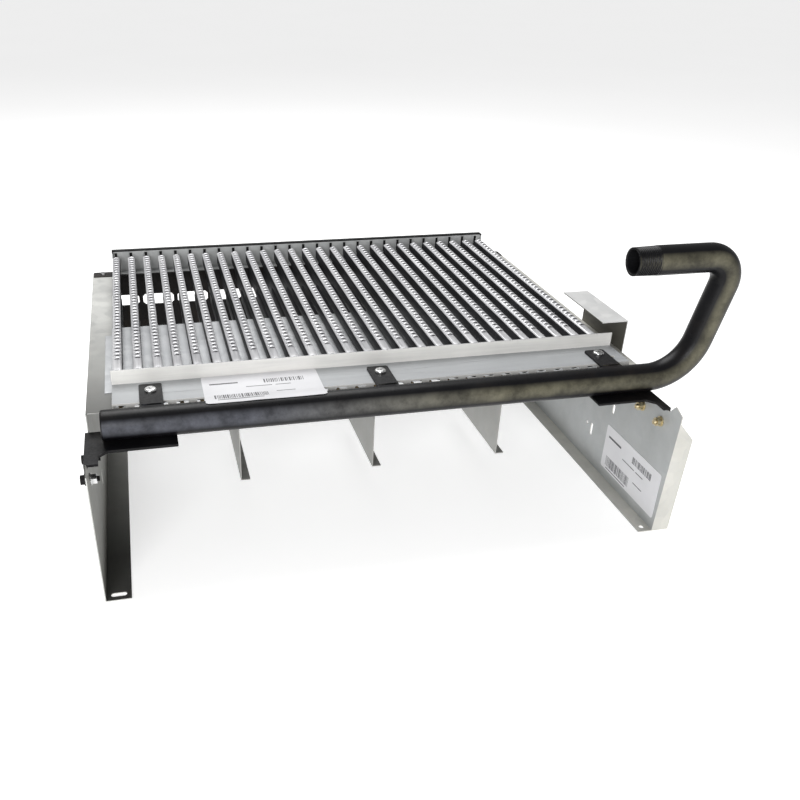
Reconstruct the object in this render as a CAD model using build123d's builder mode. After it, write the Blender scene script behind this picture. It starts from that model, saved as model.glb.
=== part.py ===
"""Gas heater burner tray: 27 blade burners in a sheet-metal rack, fed by a bent pipe manifold.

Frame: +X to the right, +Y to the back, +Z up, millimetres.  X = 0 and Y = 0 are the middle
of the overall length and depth, and Z = 0 is the surface that the tray stands on.
"""

from build123d import *
import os

os.makedirs("parts", exist_ok=True)

# ---------------------------------------------------------------- driving dimensions
SHEET = 1.2  # galvanised sheet
MIDDLE = -40.0  # X of the plane midway between the side panels
FRONT = -135.5  # Y of the burners' front ends
SCREW_RADIUS = 2.4
FRAME_SCREW_HEX = 3.2
FRAME_SCREW_HEAD = 3.0
FRAME_SCREW_LENGTH = 9.0
RIVET_RADIUS = 2.0
RIVET_HEAD_RADIUS = 3.6
RIVET_HEAD = 1.2

BURNERS = 27
PITCH = 22.0  # burner to burner
RACK_SHIFT = -4.4  # the rack sits this far off the middle of the panels
BURNER_TOP = 206.0
BURNER_WIDTH = 10.0
BURNER_LENGTH = 400.0
BURNER_WALL = 0.8
HEAD_HEIGHT = 17.0
HEAD_CORNER = 1.2
TUBE_HEIGHT = 20.0
TUBE_FRONT = FRONT - 8.0
TUBE_LENGTH = 308.0
MOUTH_FLARE = 2.0
SEAM = 2.4  # pinched web between mixing tube and head
SEAM_END = 4.0  # the web stops this far short of the head's rear end
RISER_LENGTH = 80.0  # gas way through the web
RISER_HEIGHT = 12.0
RISER_REAR = 10.0  # from the tube's rear end
TONGUE_WIDTH = 3.0
TONGUE_HEIGHT = 11.0
TONGUE_DROP = 4.0
TONGUE_LENGTH = 17.0

PANEL_INNER = 325.6  # inner face of each side panel, from MIDDLE
PANEL_REAR = 282.5
PANEL_FRONT = -283.5
PANEL_RAKE = 6.0
PANEL_TOP = 178.0
PANEL_PEAK = (-268.5, 167.0)
TOP_FLANGE = 27.0
TOP_FLANGE_FRONT = FRONT - 44.0
LEFT_FOOT = 27.0
RIGHT_FOOT = 18.0
FRONT_FLANGE = 22.0  # the right panel's front flange, turned outwards
FOOT_HOLE_RADIUS = 3.0
FOOT_SLOT = 17.0
FOOT_HOLE_YS = (-268.5, 259.5)

RAIL_LEFT = -338.2
RAIL_RIGHT = 268.0
FLANGE_TOP = 189.0  # top of the front rail's flange and of the front deck
FLANGE_DEPTH = 50.0
COMB_BOTTOM = 177.0
COMB_NOTCH = 13.0
COMB_END = (15.0, 2.0)  # length and height cut off the comb's ends, over the panels' flanges
RAIL_LEG_Y = FRONT - 31.0
RAIL_LEG_DEPTH = 34.0
RAIL_FOOT_DEPTH = 22.0
RAIL_FOOT_WIDTH = 9.0
PILOT_HOLE = (RAIL_RIGHT - 14.0, FRONT - 34.0)
PILOT_RADIUS = 2.5
DECK_DEPTH = 165.0
DECK_HEM = 4.0
DECK_FOOT = 9.0
LEDGE_TOP = 162.0
LEDGE_DEPTH = 14.0
SUPPORT_GAP = 1.4  # between the support's ends and the panels' flanges
SLOT_GAP = 1.0  # play of a mixing tube in its slot

REAR_RAIL_Y = 278.5
REAR_RAIL_TOP = 213.0
REAR_RAIL_LEFT = -336.0
REAR_RAIL_RIGHT = 250.0
RAIL_FOOT = 14.0
RAIL_RETURN = 7.0
SLOT_WIDTH = 4.0
SLOT_COVER = 4.5  # metal left above each slot
RAIL_HOOD = 5.0  # depth of the rail's folded-over top
RAIL_HOOD_BOTTOM = 188.0

REAR_PLATE_Y = 262.5
REAR_PLATE_BOTTOM = 89.0
PLATE_FLANGE = 20.0
WINDOWS = 12
WINDOW_PITCH = 52.0
WINDOW_WIDTH = 46.0
WINDOW_HEIGHT = 16.0
WINDOW_Z = 140.0
WINDOW_CHAMFER = 3.5
PLATE_NECK_GAP = 0.6  # between the plate and the panels' top flanges
PLATE_SHOULDER = 4.0  # the plate widens this far below the panels' tops

PIPE_RADIUS = 16.7  # 1 inch pipe, 33.4 mm outside
PIPE_WALL = 3.4
PIPE_Y = -204.8
PIPE_Z = 175.2
PIPE_LEFT = -348.0
HOOK_CORNER_X = 329.0  # where the main run's axis meets the rising leg's axis
HOOK_TOP_X = 364.0  # where the leg's axis meets the upper run's axis
HOOK_TOP_Z = 319.8
HOOK_END_X = 234.5  # open, threaded end
LOWER_BEND = 60.0
UPPER_BEND = 27.0
THREAD_LENGTH = 28.0
THREAD_DEPTH = 0.4
CAP_THICKNESS = 3.0

SPUD_SHANK = 4.0
SPUD_HEX = 5.5  # across flats is twice this
SPUD_HEX_LENGTH = 7.0
SPUD_TIP_Y = FRONT - 32.0
SPUD_BORE = 1.2

TAB_CENTRES = (-297.0, -38.0, 237.0)
TAB_WIDTH = 25.0
TAB_THICKNESS = 2.5
TAB_REARS = (FRONT - 11.0, FRONT - 12.5, FRONT - 16.0)
TAB_SCREW_Y = FRONT - 29.0
SCREW_HEAD_RADIUS = 6.3
SCREW_HEAD = 3.4

BRACKET = 3.0  # manifold bracket plate
BRACKET_REACHES = {-1: 92.0, 1: 74.6}  # inboard from each panel
BRACKET_LUGS = {-1: 10.3, 1: 5.0}  # the lug's edge, inboard from each panel
BRACKET_FRONT = FRONT - 94.0
BRACKET_LUG_FRONT = FRONT - 119.0
BRACKET_REAR = FRONT - 50.0
BRACKET_DROP = 43.0
BRACKET_CUT = 9.0  # slanting edge between lug and shelf
BRACKET_GAP = 4.0  # between the bracket and the cut-out in the panel
BOLT_YS = (FRONT - 70.0, FRONT - 111.0)
BOLT_Z = 137.0
BOLT_RADIUS = 3.0
BOLT_HEX = 5.0
BOLT_HEAD = 4.2
NUT_HEIGHT = 5.5
WASHER_RADIUS = 6.5
WASHER = 1.4

FIN_XS = (-200.4, -34.4, 131.6)
FIN_BOTTOM = 46.0
FIN_DEPTH = 190.0
FIN_FOOT = 11.0

ANGLE_TOP = 219.6
ANGLE_LENGTH = 110.0
ANGLE_BOTTOM = 150.0
ANGLE_INNER = 253.0
ANGLE_RIVETS = ((FRONT + 25.0, 160.0), (FRONT + 85.0, 160.0))

LABEL = 0.4
LABEL_WIDTH = 132.0
LABEL_HEIGHT = 62.0
LABEL_CORNER = 3.0
FRONT_LABEL_X = -175.0
PANEL_LABEL = (FRONT - 71.0, 46.0)

# ---------------------------------------------------------------- worked-out places
first_burner = MIDDLE + RACK_SHIFT - PITCH * (BURNERS - 1) / 2
burner_xs = [first_burner + PITCH * i for i in range(BURNERS)]
burner_rear = FRONT + BURNER_LENGTH
head_bottom = BURNER_TOP - HEAD_HEIGHT
mouth_height = TUBE_HEIGHT + MOUTH_FLARE
mouth_width = BURNER_WIDTH + MOUTH_FLARE
seam_front = FRONT + DECK_DEPTH + 2.0
riser_front = TUBE_FRONT + TUBE_LENGTH - RISER_REAR - RISER_LENGTH
panel_outer = PANEL_INNER + SHEET
shelf_top = PIPE_Z - PIPE_RADIUS
shelf_bottom = shelf_top - BRACKET
rail_length = RAIL_RIGHT - RAIL_LEFT
rear_middle = (REAR_RAIL_LEFT + REAR_RAIL_RIGHT) / 2
rear_length = REAR_RAIL_RIGHT - REAR_RAIL_LEFT
rail_rivet_spots = [(rear_middle + 110.0 * (i - 2), REAR_RAIL_Y - 6.0) for i in range(5)]
rear_screw_spots = [(MIDDLE + side * 312.0, REAR_RAIL_Y - 6.0) for side in (-1, 1)]
front_screw_spot = (RAIL_RIGHT - 5.5, RAIL_LEG_Y)
leg_xs = (RAIL_LEFT + SHEET / 2, RAIL_RIGHT - SHEET / 2)
deck_middle = FRONT + DECK_DEPTH / 2
window_xs = [MIDDLE + WINDOW_PITCH * (i - (WINDOWS - 1) / 2) for i in range(WINDOWS)]
tab_screw_spots = [(x, TAB_SCREW_Y) for x in TAB_CENTRES]
bolt_spots = [(y, BOLT_Z) for y in BOLT_YS]


def save(piece, name):
    """Label a finished piece and write it out."""
    piece.part.label = name
    export_step(piece.part, f"parts/{name}.step")


# ---------------------------------------------------------------- burners
for index, x in enumerate(burner_xs, start=1):
    with BuildPart() as burner:
        # mixing tube below the deck, a flattened tube with a flared mouth
        with BuildSketch(Plane.XZ.offset(-TUBE_FRONT)):
            with Locations((x, PIPE_Z)):
                SlotOverall(TUBE_HEIGHT, BURNER_WIDTH, rotation=90)
        extrude(amount=-TUBE_LENGTH)
        with BuildSketch(Plane.XZ.offset(-TUBE_FRONT)):
            with Locations((x, PIPE_Z)):
                SlotOverall(mouth_height, mouth_width, rotation=90)
        extrude(amount=-2 * SHEET)
        # pinched seam that joins tube and head behind the deck
        with BuildSketch(Plane.XZ.offset(-seam_front)):
            with Locations((x, (LEDGE_TOP + BURNER_TOP) / 2)):
                Rectangle(SEAM, BURNER_TOP - LEDGE_TOP - 2)
        extrude(amount=-(burner_rear - SEAM_END - seam_front))
        # ported head above the deck
        with BuildSketch(Plane.XZ.offset(-FRONT)):
            with Locations((x, BURNER_TOP - HEAD_HEIGHT / 2)):
                RectangleRounded(BURNER_WIDTH, HEAD_HEIGHT, HEAD_CORNER)
        extrude(amount=-BURNER_LENGTH)
        # rear tongue
        with BuildSketch(Plane.XZ.offset(-burner_rear)):
            with Locations((x, BURNER_TOP - TONGUE_DROP - TONGUE_HEIGHT / 2)):
                Rectangle(TONGUE_WIDTH, TONGUE_HEIGHT)
        extrude(amount=-TONGUE_LENGTH)
        # gas way: tube, riser and head are hollow, and the mouth is open
        with BuildSketch(Plane.XZ.offset(-TUBE_FRONT)):
            with Locations((x, PIPE_Z)):
                SlotOverall(TUBE_HEIGHT - 2 * BURNER_WALL, BURNER_WIDTH - 2 * BURNER_WALL, rotation=90)
        extrude(amount=-(TUBE_LENGTH - 2 * BURNER_WALL), mode=Mode.SUBTRACT)
        with BuildSketch(Plane.XZ.offset(-(FRONT + BURNER_WALL))):
            with Locations((x, BURNER_TOP - HEAD_HEIGHT / 2)):
                Rectangle(BURNER_WIDTH - 2 * BURNER_WALL, HEAD_HEIGHT - 2 * BURNER_WALL)
        extrude(amount=-(BURNER_LENGTH - 2 * BURNER_WALL), mode=Mode.SUBTRACT)
        with BuildSketch(Plane.XZ.offset(-riser_front)):
            with Locations((x, head_bottom)):
                Rectangle(SEAM - BURNER_WALL, RISER_HEIGHT)
        extrude(amount=-RISER_LENGTH, mode=Mode.SUBTRACT)
    save(burner, f"burner_{index:02d}")

# ---------------------------------------------------------------- front of the rack
with BuildPart() as front_rail:
    # lip behind which the burners end, flange in front of it and comb at the flange's edge
    with BuildSketch(Plane.YZ.offset(RAIL_LEFT)):
        with BuildLine():
            Polyline(
                (FRONT, BURNER_TOP),
                (FRONT, FLANGE_TOP - SHEET),
                (FRONT - FLANGE_DEPTH + SHEET, FLANGE_TOP - SHEET),
                (FRONT - FLANGE_DEPTH + SHEET, COMB_BOTTOM),
                (FRONT - FLANGE_DEPTH, COMB_BOTTOM),
                (FRONT - FLANGE_DEPTH, FLANGE_TOP),
                (FRONT - SHEET, FLANGE_TOP),
                (FRONT - SHEET, BURNER_TOP),
                close=True,
            )
        make_face()
    extrude(amount=rail_length)
    # the comb's notches clear the gas orifices, and its outer ends clear the panels' flanges
    with BuildSketch(Plane.XZ.offset(-(FRONT - FLANGE_DEPTH))):
        with Locations(*[(x, COMB_BOTTOM) for x in burner_xs]):
            Rectangle(COMB_NOTCH, 2 * (FLANGE_TOP - 2 * SHEET - COMB_BOTTOM))
        with Locations((RAIL_LEFT, COMB_BOTTOM), (RAIL_RIGHT, COMB_BOTTOM)):
            Rectangle(2 * COMB_END[0], 2 * COMB_END[1])
    extrude(amount=-SHEET, mode=Mode.SUBTRACT)
    # end legs; the right one has a foot, screwed to the panel's top flange under the rail
    with BuildSketch(Plane.XY.offset(PANEL_TOP)):
        with Locations(*[(x, RAIL_LEG_Y) for x in leg_xs]):
            Rectangle(SHEET, RAIL_LEG_DEPTH)
    extrude(amount=FLANGE_TOP - PANEL_TOP)
    with BuildSketch(Plane.XY.offset(PANEL_TOP)):
        with Locations((RAIL_RIGHT - RAIL_FOOT_WIDTH / 2, RAIL_LEG_Y)):
            Rectangle(RAIL_FOOT_WIDTH, RAIL_FOOT_DEPTH)
        with Locations(front_screw_spot):
            Circle(SCREW_RADIUS, mode=Mode.SUBTRACT)
    extrude(amount=SHEET)
    with BuildSketch(Plane.XY.offset(FLANGE_TOP)):
        with Locations(*tab_screw_spots):
            Circle(SCREW_RADIUS)
        with Locations(PILOT_HOLE):
            Circle(PILOT_RADIUS)
    extrude(amount=-SHEET, mode=Mode.SUBTRACT)
save(front_rail, "front_rail")

with BuildPart() as front_deck:
    # plate under the heads' front part, hemmed along its rear edge
    with BuildSketch(Plane.YZ.offset(RAIL_LEFT)):
        with BuildLine():
            Polyline(
                (FRONT, FLANGE_TOP),
                (FRONT, FLANGE_TOP - SHEET),
                (FRONT + DECK_DEPTH - SHEET, FLANGE_TOP - SHEET),
                (FRONT + DECK_DEPTH - SHEET, FLANGE_TOP - DECK_HEM),
                (FRONT + DECK_DEPTH, FLANGE_TOP - DECK_HEM),
                (FRONT + DECK_DEPTH, FLANGE_TOP),
                close=True,
            )
        make_face()
    extrude(amount=rail_length)
    # the hem is notched where a mixing tube passes
    with BuildSketch(Plane.XZ.offset(-(FRONT + DECK_DEPTH))):
        with Locations(*[(x, FLANGE_TOP - DECK_HEM) for x in burner_xs]):
            Rectangle(BURNER_WIDTH + SLOT_GAP, 2 * (DECK_HEM - SHEET))
    extrude(amount=SHEET, mode=Mode.SUBTRACT)
    # side legs stand on the panels' top flanges
    with BuildSketch(Plane.XY.offset(PANEL_TOP)):
        with Locations((RAIL_LEFT + (SHEET - DECK_FOOT) / 2, deck_middle)):
            Rectangle(DECK_FOOT + SHEET, DECK_DEPTH)
        with Locations((RAIL_RIGHT - (SHEET - DECK_FOOT) / 2, deck_middle)):
            Rectangle(DECK_FOOT + SHEET, DECK_DEPTH)
    extrude(amount=SHEET)
    with BuildSketch(Plane.XY.offset(PANEL_TOP)):
        with Locations(*[(x, deck_middle) for x in leg_xs]):
            Rectangle(SHEET, DECK_DEPTH)
    extrude(amount=FLANGE_TOP - PANEL_TOP)
save(front_deck, "front_deck")

support_left = MIDDLE - PANEL_INNER + TOP_FLANGE + SUPPORT_GAP
support_length = 2 * (MIDDLE - support_left)
with BuildPart() as burner_support:
    # web that the tubes' mouths pass through, hung under the front rail, with a ledge at its foot
    with BuildSketch(Plane.YZ.offset(support_left)):
        with BuildLine():
            Polyline(
                (FRONT - LEDGE_DEPTH, FLANGE_TOP - SHEET),
                (FRONT, FLANGE_TOP - SHEET),
                (FRONT, LEDGE_TOP),
                (FRONT + LEDGE_DEPTH, LEDGE_TOP),
                (FRONT + LEDGE_DEPTH, LEDGE_TOP - SHEET),
                (FRONT - SHEET, LEDGE_TOP - SHEET),
                (FRONT - SHEET, FLANGE_TOP - 2 * SHEET),
                (FRONT - LEDGE_DEPTH, FLANGE_TOP - 2 * SHEET),
                close=True,
            )
        make_face()
    extrude(amount=support_length)
    with BuildSketch(Plane.XZ.offset(-FRONT)):
        with Locations(*[(x, PIPE_Z) for x in burner_xs]):
            SlotOverall(mouth_height + SLOT_GAP, mouth_width + SLOT_GAP, rotation=90)
    extrude(amount=SHEET, mode=Mode.SUBTRACT)
save(burner_support, "burner_support")

# ---------------------------------------------------------------- back of the rack
rail_foot_z = PANEL_TOP + SHEET
slot_top = REAR_RAIL_TOP - SLOT_COVER
slot_bottom = BURNER_TOP - TONGUE_DROP - TONGUE_HEIGHT
hood_rear = REAR_RAIL_Y + RAIL_HOOD
with BuildPart() as rear_rail:
    with BuildSketch(Plane.XY.offset(rail_foot_z)):
        with Locations((rear_middle, REAR_RAIL_Y - RAIL_FOOT / 2 + SHEET)):
            Rectangle(rear_length, RAIL_FOOT)
    extrude(amount=SHEET)
    with BuildSketch(Plane.XY.offset(rail_foot_z)):
        with Locations((rear_middle, REAR_RAIL_Y + SHEET / 2)):
            Rectangle(rear_length, SHEET)
        with Locations(
            (REAR_RAIL_LEFT + SHEET / 2, REAR_RAIL_Y - RAIL_RETURN / 2),
            (REAR_RAIL_RIGHT - SHEET / 2, REAR_RAIL_Y - RAIL_RETURN / 2),
        ):
            Rectangle(SHEET, RAIL_RETURN)
    extrude(amount=REAR_RAIL_TOP - rail_foot_z)
    # slots take the burners' tongues
    with BuildSketch(Plane.XZ.offset(-REAR_RAIL_Y)):
        with Locations(*[(x, (slot_top + slot_bottom) / 2) for x in burner_xs]):
            Rectangle(SLOT_WIDTH, slot_top - slot_bottom)
    extrude(amount=-SHEET, mode=Mode.SUBTRACT)
    # the top is folded back and down behind the slots
    with BuildSketch(Plane.XY.offset(REAR_RAIL_TOP)):
        with Locations((rear_middle, REAR_RAIL_Y + RAIL_HOOD / 2)):
            Rectangle(rear_length, RAIL_HOOD)
    extrude(amount=-SHEET)
    with BuildSketch(Plane.XY.offset(RAIL_HOOD_BOTTOM)):
        with Locations((rear_middle, hood_rear - SHEET / 2)):
            Rectangle(rear_length, SHEET)
    extrude(amount=REAR_RAIL_TOP - RAIL_HOOD_BOTTOM)
    with BuildSketch(Plane.XY.offset(rail_foot_z)):
        with Locations(*rail_rivet_spots):
            Circle(RIVET_RADIUS)
    extrude(amount=SHEET, mode=Mode.SUBTRACT)
save(rear_rail, "rear_rail")

plate_neck = 2 * (PANEL_INNER - TOP_FLANGE - PLATE_NECK_GAP)
plate_shoulder = PANEL_TOP - PLATE_SHOULDER
window_band = (WINDOW_Z - WINDOW_HEIGHT, WINDOW_Z + WINDOW_HEIGHT)
with BuildPart() as rear_plate:
    # top flange lies across both panels' top flanges
    with BuildSketch(Plane.XY.offset(PANEL_TOP)):
        with Locations((MIDDLE, REAR_PLATE_Y + PLATE_FLANGE / 2)):
            Rectangle(2 * PANEL_INNER, PLATE_FLANGE)
        with Locations(*rail_rivet_spots):
            Circle(RIVET_RADIUS, mode=Mode.SUBTRACT)
        with Locations(*rear_screw_spots):
            Circle(SCREW_RADIUS, mode=Mode.SUBTRACT)
    extrude(amount=SHEET)
    # hanging plate, with a row of air windows
    with BuildSketch(Plane.XZ.offset(-REAR_PLATE_Y)):
        with Locations((MIDDLE, (REAR_PLATE_BOTTOM + PANEL_TOP + SHEET) / 2)):
            Rectangle(plate_neck, PANEL_TOP + SHEET - REAR_PLATE_BOTTOM)
        with Locations((MIDDLE, (REAR_PLATE_BOTTOM + plate_shoulder) / 2)):
            Rectangle(2 * (PANEL_INNER - PLATE_NECK_GAP), plate_shoulder - REAR_PLATE_BOTTOM)
        with Locations(*[(x, WINDOW_Z) for x in window_xs]):
            Rectangle(WINDOW_WIDTH, WINDOW_HEIGHT, mode=Mode.SUBTRACT)
    extrude(amount=-SHEET)
    window_edges = rear_plate.edges().filter_by(Axis.Y).filter_by_position(Axis.Z, *window_band)
    chamfer(window_edges, WINDOW_CHAMFER)
save(rear_plate, "rear_plate")

# ---------------------------------------------------------------- side panels
SIDE_SLOTS = ((FRONT - 10.0, 101.0, 13.0), (FRONT + 34.0, 48.0, 18.0))
SIDE_SLOT_WIDTH = 5.0
SIDE_HOLE = (FRONT + 47.0, 52.0)
FLANGE_CORNER = (128.0, 151.0)  # the front flange tapers in between these heights


def side_panel(side, foot_width, front_flange):
    """Panel of one side (side is -1 left, +1 right), with its top flange and foot."""
    inner = MIDDLE + side * PANEL_INNER
    foot_middle = inner - side * foot_width / 2
    screw_spots = rear_screw_spots[:1] if side < 0 else [rear_screw_spots[1], front_screw_spot]
    peak_y, peak_z = PANEL_PEAK
    with BuildPart() as panel:
        with BuildSketch(Plane.YZ.offset(inner)):
            with BuildLine():
                Polyline(
                    (PANEL_FRONT + PANEL_RAKE, 0),
                    (PANEL_FRONT, FLANGE_CORNER[1]),
                    (PANEL_FRONT, peak_z - PANEL_RAKE),
                    (peak_y, peak_z),
                    (BRACKET_LUG_FRONT - BRACKET_GAP, shelf_bottom),
                    (TOP_FLANGE_FRONT - BRACKET_GAP, shelf_bottom),
                    (TOP_FLANGE_FRONT - BRACKET_GAP, PANEL_TOP),
                    (PANEL_REAR, PANEL_TOP),
                    (PANEL_REAR, 0),
                    close=True,
                )
            make_face()
            with Locations(*bolt_spots):
                Circle(BOLT_RADIUS, mode=Mode.SUBTRACT)
            for slot_y, slot_z, slot_length in SIDE_SLOTS:
                with Locations((slot_y, slot_z)):
                    SlotOverall(slot_length, SIDE_SLOT_WIDTH, rotation=90, mode=Mode.SUBTRACT)
            with Locations(SIDE_HOLE):
                Circle(RIVET_RADIUS, mode=Mode.SUBTRACT)
            if side > 0:
                with Locations(*ANGLE_RIVETS):
                    Circle(RIVET_RADIUS, mode=Mode.SUBTRACT)
        extrude(amount=side * SHEET)
        # top flange
        with BuildSketch(Plane.XY.offset(PANEL_TOP)):
            with Locations((inner - side * TOP_FLANGE / 2, (TOP_FLANGE_FRONT + PANEL_REAR) / 2)):
                Rectangle(TOP_FLANGE, PANEL_REAR - TOP_FLANGE_FRONT)
            with Locations(*screw_spots):
                Circle(SCREW_RADIUS, mode=Mode.SUBTRACT)
        extrude(amount=-SHEET)
        # foot: slots on the left, round holes on the right
        with BuildSketch(Plane.XY):
            with Locations((foot_middle, (PANEL_FRONT + PANEL_RAKE + PANEL_REAR) / 2)):
                Rectangle(foot_width, PANEL_REAR - PANEL_FRONT - PANEL_RAKE)
            with Locations(*[(foot_middle, y) for y in FOOT_HOLE_YS]):
                if side > 0:
                    Circle(FOOT_HOLE_RADIUS, mode=Mode.SUBTRACT)
                else:
                    SlotOverall(FOOT_SLOT, 2 * FOOT_HOLE_RADIUS, mode=Mode.SUBTRACT)
        extrude(amount=SHEET)
        if front_flange:
            # follows the raked front edge, and its upper corner is cut off
            with BuildSketch(Plane.YZ.offset(inner)):
                with BuildLine():
                    Polyline(
                        (PANEL_FRONT + PANEL_RAKE, 0),
                        (PANEL_FRONT, FLANGE_CORNER[1]),
                        (PANEL_FRONT + SHEET, FLANGE_CORNER[1]),
                        (PANEL_FRONT + PANEL_RAKE + SHEET, 0),
                        close=True,
                    )
                make_face()
            extrude(amount=side * FRONT_FLANGE)
            with BuildSketch(Plane.XZ.offset(-(PANEL_FRONT - 1))):
                with BuildLine():
                    Polyline(
                        (inner + side * SHEET, FLANGE_CORNER[1] + 1),
                        (inner + side * (FRONT_FLANGE + 1), FLANGE_CORNER[0]),
                        (inner + side * (FRONT_FLANGE + 1), FLANGE_CORNER[1] + 1),
                        close=True,
                    )
                make_face()
            extrude(amount=-10, mode=Mode.SUBTRACT)
    return panel


left_side_panel = side_panel(-1, LEFT_FOOT, front_flange=False)
save(left_side_panel, "left_side_panel")
right_side_panel = side_panel(1, RIGHT_FOOT, front_flange=True)
save(right_side_panel, "right_side_panel")

# ---------------------------------------------------------------- fins under the rack
for name, x in zip(("left", "middle", "right"), FIN_XS):
    with BuildPart() as fin:
        with BuildSketch(Plane.XZ.offset(-FRONT)):
            with Locations((x, (FIN_BOTTOM + LEDGE_TOP - SHEET) / 2)):
                Rectangle(SHEET, LEDGE_TOP - SHEET - FIN_BOTTOM)
            with Locations((x + FIN_FOOT / 2, FIN_BOTTOM + SHEET / 2)):
                Rectangle(FIN_FOOT, SHEET)
        extrude(amount=-FIN_DEPTH)
        with BuildSketch(Plane.XY.offset(LEDGE_TOP - SHEET)):
            with Locations((x + FIN_FOOT / 2, FRONT + LEDGE_DEPTH / 2)):
                Rectangle(FIN_FOOT, LEDGE_DEPTH)
        extrude(amount=-SHEET)
    save(fin, f"{name}_fin")

# ---------------------------------------------------------------- manifold
with BuildPart() as manifold_pipe:
    with BuildLine():
        FilletPolyline(
            (PIPE_LEFT, PIPE_Y, PIPE_Z),
            (HOOK_CORNER_X, PIPE_Y, PIPE_Z),
            (HOOK_TOP_X, PIPE_Y, HOOK_TOP_Z),
            (HOOK_END_X, PIPE_Y, HOOK_TOP_Z),
            radius=[LOWER_BEND, UPPER_BEND],
        )
    with BuildSketch(Plane.YZ.offset(PIPE_LEFT)):
        with Locations((PIPE_Y, PIPE_Z)):
            Circle(PIPE_RADIUS)
            Circle(PIPE_RADIUS - PIPE_WALL, mode=Mode.SUBTRACT)
    sweep()
    # tapped holes for the gas orifices
    with BuildSketch(Plane.XZ.offset(-PIPE_Y)):
        with Locations(*[(x, PIPE_Z) for x in burner_xs]):
            Circle(SPUD_SHANK)
    extrude(amount=-2 * PIPE_RADIUS, mode=Mode.SUBTRACT)
    # threaded end
    with BuildSketch(Plane.YZ.offset(HOOK_END_X)):
        with Locations((PIPE_Y, HOOK_TOP_Z)):
            Circle(2 * PIPE_RADIUS)
            Circle(PIPE_RADIUS - THREAD_DEPTH, mode=Mode.SUBTRACT)
    extrude(amount=THREAD_LENGTH, mode=Mode.SUBTRACT)
save(manifold_pipe, "manifold_pipe")

with BuildPart() as manifold_end_cap:
    with BuildSketch(Plane.YZ.offset(PIPE_LEFT)):
        with Locations((PIPE_Y, PIPE_Z)):
            Circle(PIPE_RADIUS)
    extrude(amount=-CAP_THICKNESS)
    fillet(manifold_end_cap.edges().filter_by(GeomType.CIRCLE).sort_by(Axis.X)[0], 0.8 * CAP_THICKNESS)
    with BuildSketch(Plane.YZ.offset(PIPE_LEFT)):
        with Locations((PIPE_Y, PIPE_Z)):
            Circle(PIPE_RADIUS - PIPE_WALL)
    extrude(amount=CAP_THICKNESS)
save(manifold_end_cap, "manifold_end_cap")

spud_seat = PIPE_Y + PIPE_RADIUS
spud_root = spud_seat - PIPE_WALL
with BuildPart() as gas_orifices:
    for x in burner_xs:
        with BuildSketch(Plane.XZ.offset(-spud_root)):
            with Locations((x, PIPE_Z)):
                Circle(SPUD_SHANK)
        extrude(amount=-PIPE_WALL)
        with BuildSketch(Plane.XZ.offset(-spud_seat)):
            with Locations((x, PIPE_Z)):
                RegularPolygon(SPUD_HEX, 6, major_radius=False)
        extrude(amount=-SPUD_HEX_LENGTH)
        with BuildSketch(Plane.XZ.offset(-(spud_seat + SPUD_HEX_LENGTH))):
            with Locations((x, PIPE_Z)):
                Circle(3 * SPUD_BORE)
        with BuildSketch(Plane.XZ.offset(-SPUD_TIP_Y)):
            with Locations((x, PIPE_Z)):
                Circle(2 * SPUD_BORE)
        loft()
        with BuildSketch(Plane.XZ.offset(-spud_root)):
            with Locations((x, PIPE_Z)):
                Circle(SPUD_BORE)
        extrude(amount=-(SPUD_TIP_Y - spud_root), mode=Mode.SUBTRACT)
save(gas_orifices, "gas_orifices")

# ---------------------------------------------------------------- manifold tabs and their screws
for name, x, tab_rear in zip(("left", "middle", "right"), TAB_CENTRES, TAB_REARS):
    with BuildPart() as tab:
        with BuildSketch(Plane.XY.offset(FLANGE_TOP)):
            with Locations((x, (tab_rear + PIPE_Y) / 2)):
                Rectangle(TAB_WIDTH, tab_rear - PIPE_Y)
            with Locations((x, TAB_SCREW_Y)):
                Circle(SCREW_RADIUS, mode=Mode.SUBTRACT)
        extrude(amount=TAB_THICKNESS)
        fillet(tab.edges().filter_by(Axis.Z).group_by(Axis.Y)[-1], 3)
        # shaped to the pipe that it is welded to
        with BuildSketch(Plane.YZ.offset(x - TAB_WIDTH)):
            with Locations((PIPE_Y, PIPE_Z)):
                Circle(PIPE_RADIUS)
        extrude(amount=2 * TAB_WIDTH, mode=Mode.SUBTRACT)
    save(tab, f"{name}_manifold_tab")

tab_top = FLANGE_TOP + TAB_THICKNESS
with BuildPart() as tab_screws:
    with BuildSketch(Plane.XY.offset(tab_top)):
        with Locations(*tab_screw_spots):
            Circle(SCREW_HEAD_RADIUS)
    extrude(amount=SCREW_HEAD)
    fillet(tab_screws.edges().filter_by(GeomType.CIRCLE).group_by(Axis.Z)[-1], 1.8)
    with BuildSketch(Plane.XY.offset(tab_top)):
        with Locations(*tab_screw_spots):
            Circle(SCREW_RADIUS)
    extrude(amount=-11)
    # cross recess
    with BuildSketch(Plane.XY.offset(tab_top + SCREW_HEAD)):
        with Locations(*tab_screw_spots):
            Rectangle(5, 1.1)
            Rectangle(1.1, 5)
    extrude(amount=-1.6, mode=Mode.SUBTRACT)
save(tab_screws, "tab_screws")

# ---------------------------------------------------------------- manifold brackets


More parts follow.
